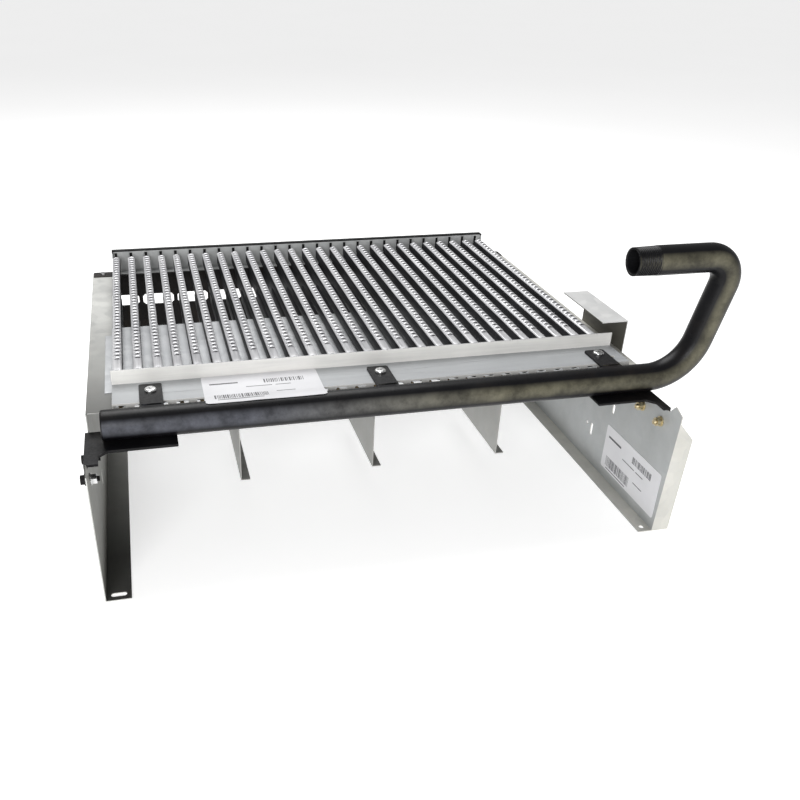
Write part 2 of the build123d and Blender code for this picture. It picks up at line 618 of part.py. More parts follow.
def manifold_bracket(side):
    """Shelf under the pipe with a leg bolted to the outside of one panel."""
    inner = MIDDLE + side * PANEL_INNER
    outer = MIDDLE + side * panel_outer
    shelf_end = inner - side * BRACKET_REACHES[side]
    lug_edge = inner - side * BRACKET_LUGS[side]
    with BuildPart() as bracket:
        with BuildSketch(Plane.XY.offset(shelf_top)):
            with BuildLine():
                Polyline(
                    (shelf_end, BRACKET_REAR),
                    (shelf_end, BRACKET_FRONT),
                    (lug_edge - side * BRACKET_CUT, BRACKET_FRONT),
                    (lug_edge, BRACKET_FRONT - BRACKET_CUT),
                    (lug_edge, BRACKET_LUG_FRONT),
                    (outer + side * BRACKET, BRACKET_LUG_FRONT),
                    (outer + side * BRACKET, BRACKET_REAR),
                    close=True,
                )
            make_face()
        extrude(amount=-BRACKET)
        with BuildSketch(Plane.YZ.offset(outer)):
            with Locations(((BRACKET_REAR + BRACKET_LUG_FRONT) / 2, shelf_top - BRACKET_DROP / 2)):
                Rectangle(BRACKET_REAR - BRACKET_LUG_FRONT, BRACKET_DROP)
            with Locations(*bolt_spots):
                Circle(BOLT_RADIUS, mode=Mode.SUBTRACT)
        extrude(amount=side * BRACKET)
    return bracket


left_manifold_bracket = manifold_bracket(-1)
save(left_manifold_bracket, "left_manifold_bracket")
right_manifold_bracket = manifold_bracket(1)
save(right_manifold_bracket, "right_manifold_bracket")

leg_face = panel_outer + BRACKET
shank = leg_face - PANEL_INNER + WASHER + NUT_HEIGHT + 3
with BuildPart() as bracket_bolts:
    for side in (-1, 1):
        face = MIDDLE + side * leg_face
        with BuildSketch(Plane.YZ.offset(face)):
            with Locations(*bolt_spots):
                Circle(WASHER_RADIUS)
        extrude(amount=side * WASHER)
        with BuildSketch(Plane.YZ.offset(face + side * WASHER)):
            with Locations(*bolt_spots):
                RegularPolygon(BOLT_HEX, 6, major_radius=False)
        extrude(amount=side * BOLT_HEAD)
        with BuildSketch(Plane.YZ.offset(face)):
            with Locations(*bolt_spots):
                Circle(BOLT_RADIUS)
        extrude(amount=-side * shank)
save(bracket_bolts, "bracket_bolts")

with BuildPart() as bracket_nuts:
    for side in (-1, 1):
        face = MIDDLE + side * PANEL_INNER
        with BuildSketch(Plane.YZ.offset(face)):
            with Locations(*bolt_spots):
                Circle(WASHER_RADIUS)
                Circle(BOLT_RADIUS, mode=Mode.SUBTRACT)
        extrude(amount=-side * WASHER)
        with BuildSketch(Plane.YZ.offset(face - side * WASHER)):
            with Locations(*bolt_spots):
                RegularPolygon(BOLT_HEX, 6, major_radius=False)
                Circle(BOLT_RADIUS, mode=Mode.SUBTRACT)
        extrude(amount=-side * NUT_HEIGHT)
save(bracket_nuts, "bracket_nuts")

# ---------------------------------------------------------------- angle bracket on the right
right_outer = MIDDLE + panel_outer
with BuildPart() as angle_bracket:
    with BuildSketch(Plane.XZ.offset(-FRONT)):
        with BuildLine():
            Polyline(
                (ANGLE_INNER, ANGLE_TOP),
                (right_outer + SHEET, ANGLE_TOP),
                (right_outer + SHEET, ANGLE_BOTTOM),
                (right_outer, ANGLE_BOTTOM),
                (right_outer, ANGLE_TOP - SHEET),
                (ANGLE_INNER, ANGLE_TOP - SHEET),
                close=True,
            )
        make_face()
    extrude(amount=-ANGLE_LENGTH)
    with BuildSketch(Plane.YZ.offset(right_outer)):
        with Locations(*ANGLE_RIVETS):
            Circle(RIVET_RADIUS)
    extrude(amount=SHEET, mode=Mode.SUBTRACT)
save(angle_bracket, "angle_bracket")

with BuildPart() as angle_rivets:
    with BuildSketch(Plane.YZ.offset(right_outer - SHEET)):
        with Locations(*ANGLE_RIVETS):
            Circle(RIVET_RADIUS)
    extrude(amount=2 * SHEET)
    with BuildSketch(Plane.YZ.offset(right_outer - SHEET)):
        with Locations(*ANGLE_RIVETS):
            Circle(RIVET_HEAD_RADIUS)
    extrude(amount=-RIVET_HEAD)
    with BuildSketch(Plane.YZ.offset(right_outer + SHEET)):
        with Locations(*ANGLE_RIVETS):
            Circle(RIVET_HEAD_RADIUS)
    extrude(amount=RIVET_HEAD)
save(angle_rivets, "angle_rivets")

# ---------------------------------------------------------------- rivets and screws of the frame
with BuildPart() as rail_rivets:
    with BuildSketch(Plane.XY.offset(PANEL_TOP)):
        with Locations(*rail_rivet_spots):
            Circle(RIVET_RADIUS)
    extrude(amount=2 * SHEET)
    with BuildSketch(Plane.XY.offset(rail_foot_z + SHEET)):
        with Locations(*rail_rivet_spots):
            Circle(RIVET_HEAD_RADIUS)
    extrude(amount=RIVET_HEAD)
    with BuildSketch(Plane.XY.offset(PANEL_TOP)):
        with Locations(*rail_rivet_spots):
            Circle(RIVET_HEAD_RADIUS)
    extrude(amount=-RIVET_HEAD)
save(rail_rivets, "rail_rivets")

with BuildPart() as frame_screws:
    with BuildSketch(Plane.XY.offset(PANEL_TOP + SHEET)):
        with Locations(*rear_screw_spots, front_screw_spot):
            RegularPolygon(FRAME_SCREW_HEX, 6, major_radius=False)
    extrude(amount=FRAME_SCREW_HEAD)
    with BuildSketch(Plane.XY.offset(PANEL_TOP + SHEET)):
        with Locations(*rear_screw_spots, front_screw_spot):
            Circle(SCREW_RADIUS)
    extrude(amount=-FRAME_SCREW_LENGTH)
save(frame_screws, "frame_screws")

# ---------------------------------------------------------------- labels
label_rear = FRONT - SHEET - 0.4
label_bend = FRONT - FLANGE_DEPTH + 6.0
label_front = PIPE_Y - 4.2
crest = PIPE_Z + PIPE_RADIUS
with BuildPart() as front_label:
    # lies on the rail's flange and runs out over the top of the pipe
    with BuildSketch(Plane.YZ.offset(FRONT_LABEL_X - LABEL_WIDTH / 2)):
        with BuildLine():
            Polyline(
                (label_rear, FLANGE_TOP),
                (label_bend, FLANGE_TOP),
                (PIPE_Y + 3, crest),
                (label_front, crest),
                (label_front, crest + LABEL),
                (PIPE_Y + 3, crest + LABEL),
                (label_bend, FLANGE_TOP + LABEL),
                (label_rear, FLANGE_TOP + LABEL),
                close=True,
            )
        make_face()
    extrude(amount=LABEL_WIDTH)
save(front_label, "front_label")

with BuildPart() as panel_label:
    with BuildSketch(Plane.YZ.offset(MIDDLE + PANEL_INNER)):
        with Locations(PANEL_LABEL):
            RectangleRounded(LABEL_WIDTH, LABEL_HEIGHT, LABEL_CORNER)
    extrude(amount=-LABEL)
save(panel_label, "panel_label")
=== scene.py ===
"""Looks of a gas heater's burner tray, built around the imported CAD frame.

Metres, +X to the right, +Y to the back, +Z up, with the CAD's own origin. Sizes that are easier to
read in millimetres are multiplied by MM.
"""

import math
import random

import bmesh
import bpy
from mathutils import Matrix, Vector


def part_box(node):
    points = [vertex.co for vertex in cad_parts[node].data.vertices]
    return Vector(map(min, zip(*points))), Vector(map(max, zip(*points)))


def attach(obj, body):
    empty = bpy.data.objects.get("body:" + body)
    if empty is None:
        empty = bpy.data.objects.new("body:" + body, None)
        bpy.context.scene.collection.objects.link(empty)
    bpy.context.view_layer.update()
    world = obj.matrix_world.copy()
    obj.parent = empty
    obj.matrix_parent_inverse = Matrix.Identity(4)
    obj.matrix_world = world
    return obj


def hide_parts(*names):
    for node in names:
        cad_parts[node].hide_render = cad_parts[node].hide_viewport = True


MM = 0.001
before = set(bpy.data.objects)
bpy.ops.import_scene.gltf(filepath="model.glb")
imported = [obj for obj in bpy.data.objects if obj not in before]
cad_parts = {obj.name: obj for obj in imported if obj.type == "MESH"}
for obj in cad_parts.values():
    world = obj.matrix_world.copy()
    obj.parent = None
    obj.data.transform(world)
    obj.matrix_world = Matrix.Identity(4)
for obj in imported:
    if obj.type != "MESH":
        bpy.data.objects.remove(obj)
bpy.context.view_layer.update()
random.seed(27)


# ---------------------------------------------------------------- materials
UPWARD = (0.0, 0.0, 1.0)
LEFTWARD = (-1.0, 0.0, 0.0)
RIGHTWARD = (1.0, 0.0, 0.0)
NEAR_BLACK = (0.02, 0.02, 0.02)
RUST_BROWN = (0.075, 0.05, 0.03)
LENGTHWISE = (1.0, 0.05, 1.0)  # rolling lines along Y
CROSSWISE = (0.05, 1.0, 1.0)  # rolling lines along X


def blank_material(name):
    """A node material and what its makers need: nodes, links and its Principled shader."""
    material = bpy.data.materials.new(name)
    material.use_nodes = True
    tree = material.node_tree
    return material, tree.nodes, tree.links, tree.nodes["Principled BSDF"]


def place(nodes, links, scale=(1.0, 1.0, 1.0)):
    """Position in the scene, stretched by scale."""
    position = nodes.new("ShaderNodeNewGeometry")
    mapping = nodes.new("ShaderNodeMapping")
    mapping.inputs["Scale"].default_value = scale
    links.new(position.outputs["Position"], mapping.inputs["Vector"])
    return mapping.outputs["Vector"]


def noise(nodes, links, where, scale, detail=4.0, roughness=0.55):
    """Noise from 0 to 1 at where, with scale waves in a metre."""
    texture = nodes.new("ShaderNodeTexNoise")
    texture.inputs["Scale"].default_value = scale
    texture.inputs["Detail"].default_value = detail
    texture.inputs["Roughness"].default_value = roughness
    links.new(where, texture.inputs["Vector"])
    return texture.outputs["Fac"]


def ramp(nodes, links, value, stops):
    """Colours at places along value, as (place, colour) pairs."""
    node = nodes.new("ShaderNodeValToRGB")
    elements = node.color_ramp.elements
    while len(elements) < len(stops):
        elements.new(0.5)
    for element, (at, colour) in zip(elements, stops):
        element.position = at
        element.color = (*colour, 1.0)
    links.new(value, node.inputs["Fac"])
    return node.outputs["Color"]


def spread(nodes, links, value, low, high, start=0.3, end=0.7):
    """value from start to end, mapped to low to high."""
    node = nodes.new("ShaderNodeMapRange")
    node.inputs["From Min"].default_value = start
    node.inputs["From Max"].default_value = end
    node.inputs["To Min"].default_value = low
    node.inputs["To Max"].default_value = high
    links.new(value, node.inputs["Value"])
    return node.outputs["Result"]


def blend_colours(nodes, links, factor, first, second, how="MIX"):
    """first changed to second by factor. Each may be a socket or a plain value."""
    node = nodes.new("ShaderNodeMix")
    node.data_type = "RGBA"
    node.blend_type = how
    if isinstance(factor, float):
        node.inputs["Factor"].default_value = factor
    else:
        links.new(factor, node.inputs["Factor"])
    for socket, colour in (("A", first), ("B", second)):
        target = [s for s in node.inputs if s.name == socket and s.type == "RGBA"][0]
        if isinstance(colour, tuple):
            target.default_value = (*colour, 1.0)
        else:
            links.new(colour, target)
    return [s for s in node.outputs if s.type == "RGBA"][0]


def times(nodes, links, first, second):
    """Product of two sockets."""
    node = nodes.new("ShaderNodeMath")
    node.operation = "MULTIPLY"
    links.new(first, node.inputs[0])
    links.new(second, node.inputs[1])
    return node.outputs["Value"]


def bumps(nodes, links, shader, layers):
    """Chain of bump nodes, one for each (height, strength, distance in metres)."""
    normal = None
    for height, strength, distance in layers:
        node = nodes.new("ShaderNodeBump")
        node.inputs["Strength"].default_value = strength
        node.inputs["Distance"].default_value = distance
        links.new(height, node.inputs["Height"])
        if normal is not None:
            links.new(normal, node.inputs["Normal"])
        normal = node.outputs["Normal"]
    links.new(normal, shader.inputs["Normal"])


def facing(nodes, links, axis, start=0.5, end=0.95, kind="True Normal"):
    """1 on faces that look along axis, 0 on the others. start and end are cosines."""
    normal = nodes.new("ShaderNodeNewGeometry")
    along = nodes.new("ShaderNodeVectorMath")
    along.operation = "DOT_PRODUCT"
    along.inputs[1].default_value = axis
    links.new(normal.outputs[kind], along.inputs[0])
    return spread(nodes, links, along.outputs["Value"], 0.0, 1.0, start, end)


def shade_by_facing(nodes, links, colour, facing_shade):
    """colour with painted shade on the faces that look along an axis: a darker tint, given as (axis, tint).
    """
    if facing_shade is None:
        return colour
    axis, tint = facing_shade
    return blend_colours(nodes, links, facing(nodes, links, axis), colour,
                         blend_colours(nodes, links, 1.0, colour, tint, "MULTIPLY"))


def rolled_steel(name, dark, light, metallic, roughness, along, grain=420.0, facing_shade=None):
    """Cold-rolled sheet: fine lines along one direction, clouds of duller metal and small scuffs."""
    material, nodes, links, shader = blank_material(name)
    where = place(nodes, links)
    lines = noise(nodes, links, place(nodes, links, along), grain, 5.0)
    clouds = noise(nodes, links, where, 14.0, 5.0, 0.6)
    specks = noise(nodes, links, where, 900.0, 2.0)
    base = ramp(nodes, links, clouds, [(0.3, dark), (0.68, light)])
    streaks = ramp(nodes, links, lines, [(0.3, (0.74, 0.74, 0.75)), (0.65, (1.0, 1.0, 1.0))])
    colour = blend_colours(nodes, links, 0.4, base, streaks, "MULTIPLY")
    links.new(shade_by_facing(nodes, links, colour, facing_shade), shader.inputs["Base Color"])
    shader.inputs["Metallic"].default_value = metallic
    links.new(spread(nodes, links, lines, roughness - 0.08, roughness + 0.12), shader.inputs["Roughness"])
    bumps(nodes, links, shader, [(lines, 0.12, 0.0003), (specks, 0.08, 0.0002)])
    return material


def galvanised(name, dark, light, metallic, roughness, flake=95.0, facing_shade=None, dark_beyond=None, front_top_shade=None):
    """Zinc-coated sheet: faint crystals, cloudy grey patches and fine roughness.

    Its last two arguments give the height and the depth beyond which it turns near-black, and the tint of a
    painted shade that darkens its top faces toward the front.
    """
    material, nodes, links, shader = blank_material(name)
    where = place(nodes, links)
    crystals = nodes.new("ShaderNodeTexVoronoi")
    crystals.inputs["Scale"].default_value = flake
    links.new(where, crystals.inputs["Vector"])
    tone = nodes.new("ShaderNodeRGBToBW")
    links.new(crystals.outputs["Color"], tone.inputs["Color"])
    clouds = noise(nodes, links, where, 9.0, 6.0, 0.62)
    grit = noise(nodes, links, where, 700.0, 3.0)
    base = ramp(nodes, links, clouds, [(0.32, dark), (0.66, light)])
    facets = ramp(nodes, links, tone.outputs["Val"], [(0.1, (0.86, 0.87, 0.88)), (0.9, (1.0, 1.0, 1.0))])
    colour = blend_colours(nodes, links, 0.7, base, facets, "MULTIPLY")
    colour = shade_by_facing(nodes, links, colour, facing_shade)
    # near-black above a given height and beyond a given depth
    if dark_beyond is not None:
        spot = nodes.new("ShaderNodeSeparateXYZ")
        links.new(where, spot.inputs["Vector"])
        for axis, limit in zip("ZY", dark_beyond):
            black = spread(nodes, links, spot.outputs[axis], 0.0, 1.0, limit, limit + 0.3 * MM)
            colour = blend_colours(nodes, links, black, colour, NEAR_BLACK)
    # painted shade: top faces darken toward the front
    if front_top_shade is not None:
        length = nodes.new("ShaderNodeSeparateXYZ")
        links.new(where, length.inputs["Vector"])
        near_front = spread(nodes, links, length.outputs["Y"], 0.92, 0.0, -0.2, 0.12)
        share = times(nodes, links, near_front, facing(nodes, links, UPWARD))
        colour = blend_colours(nodes, links, share, colour, front_top_shade)
    links.new(colour, shader.inputs["Base Color"])
    shader.inputs["Metallic"].default_value = metallic
    links.new(spread(nodes, links, tone.outputs["Val"], roughness - 0.05, roughness + 0.08, 0.0, 1.0),
              shader.inputs["Roughness"])
    bumps(nodes, links, shader, [(grit, 0.1, 0.0002), (clouds, 0.15, 0.0008)])
    return material


def black_finish(name, dark, light, roughness, grain, rust=0.0, gloss=0.3, peel_strength=0.3, dust_and_highlight_band=None):
    """Black oxide or paint on steel: mottled black, orange-peel bumps and a trace of brown.

    Its last argument gives a paler band, partly dust and partly a painted highlight that stands in for a
    reflection
    of the floor: the axis that it looks along, its colour, its dustier colour at the right and the place
    from which that colour comes in.
    """
    material, nodes, links, shader = blank_material(name)
    where = place(nodes, links)
    mottle = noise(nodes, links, where, 30.0, 6.0, 0.65)
    peel = noise(nodes, links, where, grain, 4.0, 0.6)
    stain = noise(nodes, links, where, 12.0, 5.0, 0.7)
    base = ramp(nodes, links, mottle, [(0.3, dark), (0.72, light)])
    brown = spread(nodes, links, stain, 0.0, rust, 0.52, 0.72)
    colour = blend_colours(nodes, links, brown, base, RUST_BROWN)
    if dust_and_highlight_band is not None:
        # painted highlight, partly dust: a paler band on the faces that look along the axis
        axis, near, far, from_x = dust_and_highlight_band
        across = nodes.new("ShaderNodeSeparateXYZ")
        links.new(where, across.inputs["Vector"])
        toward_right = spread(nodes, links, across.outputs["X"], 0.0, 1.0, from_x, from_x + 0.3)
        band_colour = blend_colours(nodes, links, toward_right, near, far)
        patchy = spread(nodes, links, mottle, 0.35, 1.0, 0.38, 0.62)
        band = facing(nodes, links, axis, 0.8, 1.0, kind="Normal")
        colour = blend_colours(nodes, links, times(nodes, links, band, patchy), colour, band_colour)
    links.new(colour, shader.inputs["Base Color"])
    shader.inputs["Metallic"].default_value = 0.0
    shader.inputs["Specular IOR Level"].default_value = gloss
    links.new(spread(nodes, links, peel, roughness - 0.08, roughness + 0.12), shader.inputs["Roughness"])
    bumps(nodes, links, shader, [(peel, peel_strength, 0.0004), (mottle, 0.1, 0.001)])
    return material


def plated(name, dark, light, roughness):
    """Bright plating on small hardware, with tool marks and dull patches."""
    material, nodes, links, shader = blank_material(name)
    where = place(nodes, links)
    patches = noise(nodes, links, where, 260.0, 4.0, 0.6)
    marks = noise(nodes, links, where, 1500.0, 2.0)
    links.new(ramp(nodes, links, patches, [(0.3, dark), (0.65, light)]), shader.inputs["Base Color"])
    shader.inputs["Metallic"].default_value = 1.0
    links.new(spread(nodes, links, patches, roughness - 0.07, roughness + 0.12), shader.inputs["Roughness"])
    bumps(nodes, links, shader, [(marks, 0.15, 0.0001)])
    return material


def paper(name, dark, light, roughness):
    """Matt label stock or ink, with fibre and a faint handling shade."""
    material, nodes, links, shader = blank_material(name)
    where = place(nodes, links)
    fibre = noise(nodes, links, where, 1200.0, 3.0)
    shade = noise(nodes, links, where, 20.0, 4.0)
    links.new(ramp(nodes, links, shade, [(0.3, dark), (0.7, light)]), shader.inputs["Base Color"])
    links.new(spread(nodes, links, fibre, roughness - 0.06, roughness + 0.06), shader.inputs["Roughness"])
    bumps(nodes, links, shader, [(fibre, 0.08, 0.0001)])
    return material


burner_steel = rolled_steel(
    "burner_steel", (0.66, 0.66, 0.68), (0.86, 0.86, 0.87), 0.5, 0.36, LENGTHWISE,
)
# painted shade: a near-black copy of the burner steel for the burners' sides and webs, which lie in the
# shade between the bars
burner_shade = rolled_steel(
    "burner_shade", (0.016, 0.016, 0.018), (0.045, 0.045, 0.05), 0.4, 0.55, LENGTHWISE,
)
# painted shade: the front rail's top faces take a darker, bluer grey than its other faces
rail_steel = rolled_steel(
    "rail_steel", (0.84, 0.83, 0.80), (0.93, 0.92, 0.885), 0.15, 0.45, CROSSWISE, 260.0,
    facing_shade=(UPWARD, (0.46, 0.48, 0.51)),
)
sheet_zinc = galvanised("sheet_zinc", (0.44, 0.45, 0.46), (0.58, 0.59, 0.60), 0.6, 0.42)
# painted shade: the left panel's faces that look right are darker, and its top faces darken toward the
# front
panel_zinc = galvanised(
    "panel_zinc", (0.52, 0.52, 0.50), (0.66, 0.66, 0.63), 0.5, 0.45, 70.0,
    facing_shade=(RIGHTWARD, (0.42, 0.42, 0.40)), front_top_shade=(0.045, 0.045, 0.041),
)
# painted shade: the right panel's faces that look left take a darker, bluer tint
cream_zinc = galvanised(
    "cream_zinc", (0.62, 0.61, 0.56), (0.76, 0.75, 0.70), 0.35, 0.45, 80.0,
    facing_shade=(LEFTWARD, (0.66, 0.69, 0.74)),
)
fin_zinc = galvanised("fin_zinc", (0.34, 0.34, 0.32), (0.46, 0.46, 0.44), 0.5, 0.45, 80.0)
# painted shade: the angle bracket's faces that look left, under its top flange, are much darker
angle_zinc = galvanised(
    "angle_zinc", (0.72, 0.72, 0.71), (0.84, 0.84, 0.83), 0.25, 0.45, 80.0,
    facing_shade=(LEFTWARD, (0.20, 0.19, 0.16)),
)
# the rear rail turns near-black above 210.2 mm high and beyond 279.4 mm deep
rail_zinc = galvanised(
    "rail_zinc", (0.56, 0.57, 0.56), (0.70, 0.71, 0.71), 0.4, 0.42, dark_beyond=(210.2 * MM, 279.4 * MM),
)
plate_black = black_finish(
    "plate_black", (0.006, 0.005, 0.006), (0.016, 0.013, 0.012), 0.6, 500.0, rust=0.5,
)
# the pipe's paler front band is a painted highlight of the floor's reflection, partly dust, and more olive
# toward the right
pipe_black = black_finish(
    "pipe_black", (0.002, 0.002, 0.003), (0.007, 0.007, 0.008), 0.34, 620.0, rust=0.08, gloss=0.2,
    peel_strength=0.15, dust_and_highlight_band=((0.0, -0.985, 0.17), (0.10, 0.105, 0.125), (0.16, 0.15, 0.105), -0.2),
)
bracket_black = black_finish(
    "bracket_black", (0.002, 0.002, 0.003), (0.008, 0.008, 0.009), 0.5, 420.0, rust=0.1, gloss=0.22,
)
brass = plated("brass", (0.12, 0.085, 0.04), (0.30, 0.22, 0.11), 0.42)
zinc_bright = plated("zinc_bright", (0.62, 0.63, 0.64), (0.85, 0.85, 0.84), 0.22)
zinc_plain = plated("zinc_plain", (0.45, 0.45, 0.46), (0.66, 0.66, 0.66), 0.35)
zinc_yellow = plated("zinc_yellow", (0.42, 0.33, 0.17), (0.70, 0.62, 0.42), 0.28)
label_white = paper("label_white", (0.69, 0.69, 0.71), (0.77, 0.77, 0.79), 0.55)
label_ink = paper("label_ink", (0.06, 0.06, 0.065), (0.14, 0.14, 0.15), 0.5)

NODE_MATERIALS = {
    "front_rail": rail_steel,
    "front_deck": sheet_zinc,
    "burner_support": sheet_zinc,
    "rear_rail": rail_zinc,
    "rear_plate": plate_black,
    "left_side_panel": panel_zinc,
    "right_side_panel": cream_zinc,
    "left_fin": fin_zinc,
    "middle_fin": fin_zinc,
    "right_fin": fin_zinc,
    "angle_bracket": angle_zinc,
    "manifold_pipe": pipe_black,
    "manifold_end_cap": pipe_black,
    "left_manifold_tab": bracket_black,
    "middle_manifold_tab": bracket_black,
    "right_manifold_tab": bracket_black,
    "left_manifold_bracket": bracket_black,
    "right_manifold_bracket": bracket_black,
    "gas_orifices": brass,
    "tab_screws": zinc_bright,
    "frame_screws": zinc_plain,
    "rail_rivets": zinc_plain,
    "angle_rivets": zinc_plain,
    "bracket_bolts": zinc_yellow,
    "bracket_nuts": zinc_yellow,
    "front_label": label_white,
    "panel_label": label_white,
}
for node_name, node_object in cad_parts.items():
    finish = NODE_MATERIALS.get(node_name, burner_steel)
    node_object.data.materials.clear()
    node_object.data.materials.append(finish)

SOFT_EDGES = {
    0.25: (
        "front_rail", "front_deck", "burner_support", "rear_rail", "rear_plate",
        "left_fin", "middle_fin", "right_fin", "gas_orifices",
    ),
    0.3: ("left_side_panel", "right_side_panel", "angle_bracket", "frame_screws"),
    0.4: ("rail_rivets", "angle_rivets"),
    0.5: ("left_manifold_tab", "middle_manifold_tab", "right_manifold_tab"),
    0.6: ("left_manifold_bracket", "right_manifold_bracket"),
}  # bevel width in mm: nodes


def soften(node, width):
    """Rounds a CAD node's sharp edges with modifiers, which leave its mesh as it is."""
    weld = node.modifiers.new("weld", "WELD")
    weld.merge_threshold = 0.00001
    bevel = node.modifiers.new("edges", "BEVEL")
    bevel.width = width * MM
    bevel.segments = 2
    bevel.limit_method = "ANGLE"
    bevel.angle_limit = math.radians(40)
    bevel.harden_normals = False


for width, node_names in SOFT_EDGES.items():
    for node_name in node_names:
        soften(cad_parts[node_name], width)


# ---------------------------------------------------------------- mesh helpers
def finish_mesh(name, builder, material, sharp=35.0):
    """Object from a bmesh, smooth except at edges sharper than sharp degrees."""
    bmesh.ops.recalc_face_normals(builder, faces=builder.faces)
    mesh = bpy.data.meshes.new(name)
    builder.to_mesh(mesh)
    builder.free()
    for polygon in mesh.polygons:
        polygon.use_smooth = True
    mesh.set_sharp_from_angle(angle=math.radians(sharp))
    mesh.materials.append(material)
    piece = bpy.data.objects.new(name, mesh)
    bpy.context.scene.collection.objects.link(piece)
    return piece


def add_ring(builder, points):
    """Vertices at points."""
    return [builder.verts.new(point) for point in points]


def bridge(builder, first, second, closed=True):
    """Quads between two rings of equal length."""
    count = len(first)
    for i in range(count if closed else count - 1):
        j = (i + 1) % count
        builder.faces.new((first[i], first[j], second[j], second[i]))


def loft(builder, rows):
    """Closed solid through rings of equal length, capped at both ends."""
    for first, second in zip(rows, rows[1:]):
        bridge(builder, first, second)
    builder.faces.new(rows[0])
    builder.faces.new(rows[-1])


def box_between(builder, low, high):
    """Closed box between two corners, in metres."""
    xs, ys, zs = zip(low, high)
    verts = add_ring(builder, [Vector((x, y, z)) for x in xs for y in ys for z in zs])
    for face in ((0, 1, 3, 2), (4, 6, 7, 5), (0, 4, 5, 1), (2, 3, 7, 6), (0, 2, 6, 4), (1, 5, 7, 3)):
        builder.faces.new([verts[i] for i in face])


def keep(piece, slot, *nodes):
    """Attaches a finished piece to the root body and hides the CAD nodes that it stands for. The slot
    argument is not used.
    """
    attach(piece, "root")
    if nodes:
        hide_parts(*nodes)


# ---------------------------------------------------------------- burners
burner_low, burner_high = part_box("burner_01")
BURNER_TOP = burner_high.z
HEAD_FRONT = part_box("front_rail")[1].y
HEAD_REAR = HEAD_FRONT + 400 * MM
HEAD_BOTTOM = BURNER_TOP - 17 * MM
HALF_HEAD = 5 * MM
PORT_PITCH = 10.1 * MM
FIRST_PORT = HEAD_FRONT + 30 * MM
PORTS = 37
PORT_LENGTH = 5.4 * MM
HOOD_OVERHANG = 0.5 * MM
HOOD_MIDDLE = 0.96  # shares of the arch's height
HOOD_REAR = 0.8
ARCH_MIDDLE = 0.5 * MM
ARCH_HALF = 3.9 * MM
ARCH_HEIGHT = 1.5 * MM
CROWN = 0.9 * MM
EDGE_DROP = 1.1 * MM  # extra fall of the top beyond this share of its half width
EDGE_DROP_FROM = 0.86
orifices_low, orifices_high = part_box("gas_orifices")
TUBE_Z = (orifices_low.z + orifices_high.z) / 2
TUBE_FRONT = burner_low.y
TUBE_REAR = TUBE_FRONT + 308 * MM
SHEET = 0.6 * MM
SPOT_WELDS = 6
WEB_HALF = 1.2 * MM
TONGUE_HALF = 1.5 * MM
BRIGHT_DEPTH = 3.4 * MM  # everything on a burner below this depth gets painted shade, a near-black copy of its steel
TOP_COLUMNS = [
    x * MM for x in (-5, -4.85, -4.4, -3.6, -2.9, -2.1, -1.2, -0.3, 0.5, 1.3, 2.2, 3.1, 3.9, 4.4, 4.85, 5)
]
HEAD_BELOW = ((5.0, -8.0), (5.0, -15.6), (4.3, -17.0), (-4.3, -17.0), (-5.0, -15.6), (-5.0, -8.0))
TUBE_RINGS = (
    (TUBE_FRONT + 1.6 * MM, 5.3, 10.3), (TUBE_FRONT + 0.5 * MM, 5.9, 10.9), (TUBE_FRONT, 6.0, 11.0),
    (TUBE_FRONT + 0.8 * MM, 6.0, 11.0), (TUBE_FRONT + 2.4 * MM, 5.6, 10.5),
    (TUBE_FRONT + 4.5 * MM, 5.0, 10.0), (TUBE_REAR - 12 * MM, 5.0, 10.0),
    (TUBE_REAR - 5 * MM, 4.4, 9.2), (TUBE_REAR - 1 * MM, 2.8, 6.6),
)  # y, half width and half height in mm, with a rolled mouth and a closed, rounded rear end


def crown(x):
    """Height of the head's plain top at x."""
    edge = max(0.0, abs(x) / HALF_HEAD)
    drop = EDGE_DROP * max(0.0, edge - EDGE_DROP_FROM) / (1 - EDGE_DROP_FROM)
    return BURNER_TOP - CROWN * edge**2 - drop


def arch(x):
    """How far a port's hood stands above the plain top at x."""
    offset = (x - ARCH_MIDDLE) / ARCH_HALF
    return ARCH_HEIGHT * math.sqrt(max(0.0, 1.0 - offset**2))


def head_row(builder, y, share=0.0):
    """Closed section of the head at y, with a share of a hood's height on its top."""
    points = [(x, y, crown(x) + share * arch(x)) for x in TOP_COLUMNS]
    points += [(x * MM, y, BURNER_TOP + z * MM) for x, z in HEAD_BELOW]
    return add_ring(builder, points)


def hood_row(builder, y, base, share):
    """Section at a port hood's open end. It shares the base row's points beside the hood."""
    row = list(base)
    for i, x in enumerate(TOP_COLUMNS):
        if arch(x) > 0:
            row[i] = builder.verts.new((x, y, crown(x) + share * arch(x)))
    return row


def stadium(y, half_width, half_height, count=20):
    """Points of a flattened tube's section."""
    points = []
    straight = half_height - half_width
    for i in range(count):
        angle = 2 * math.pi * i / count
        shift = straight if math.sin(angle) >= 0 else -straight
        points.append((half_width * math.cos(angle), y, TUBE_Z + half_width * math.sin(angle) + shift))
    return points


def burner_mesh():
    """Ported head and mixing tube of one burner."""
    builder = bmesh.new()
    # every port has a hood that is open in front and behind
    row = head_row(builder, HEAD_FRONT + 0.3 * MM)
    builder.faces.new(row)
    for k in range(PORTS):
        y = FIRST_PORT + PORT_PITCH * k
        front = head_row(builder, y)
        bridge(builder, row, front)
        rear = head_row(builder, y + PORT_LENGTH)
        hood_front = hood_row(builder, y - HOOD_OVERHANG, front, 1.0)
        hood_middle = head_row(builder, y + PORT_LENGTH / 2, HOOD_MIDDLE)
        hood_rear = hood_row(builder, y + PORT_LENGTH, rear, HOOD_REAR)
        bridge(builder, hood_front, hood_middle)
        bridge(builder, hood_middle, hood_rear)
        row = rear
    last = head_row(builder, HEAD_REAR)
    bridge(builder, row, last)
    builder.faces.new(last)
    previous = None
    for y, half_width, half_height in TUBE_RINGS:
        ring = add_ring(builder, stadium(y, half_width * MM, half_height * MM))
        if previous:
            bridge(builder, previous, ring)
        previous = ring
    builder.faces.new(previous)
    return builder


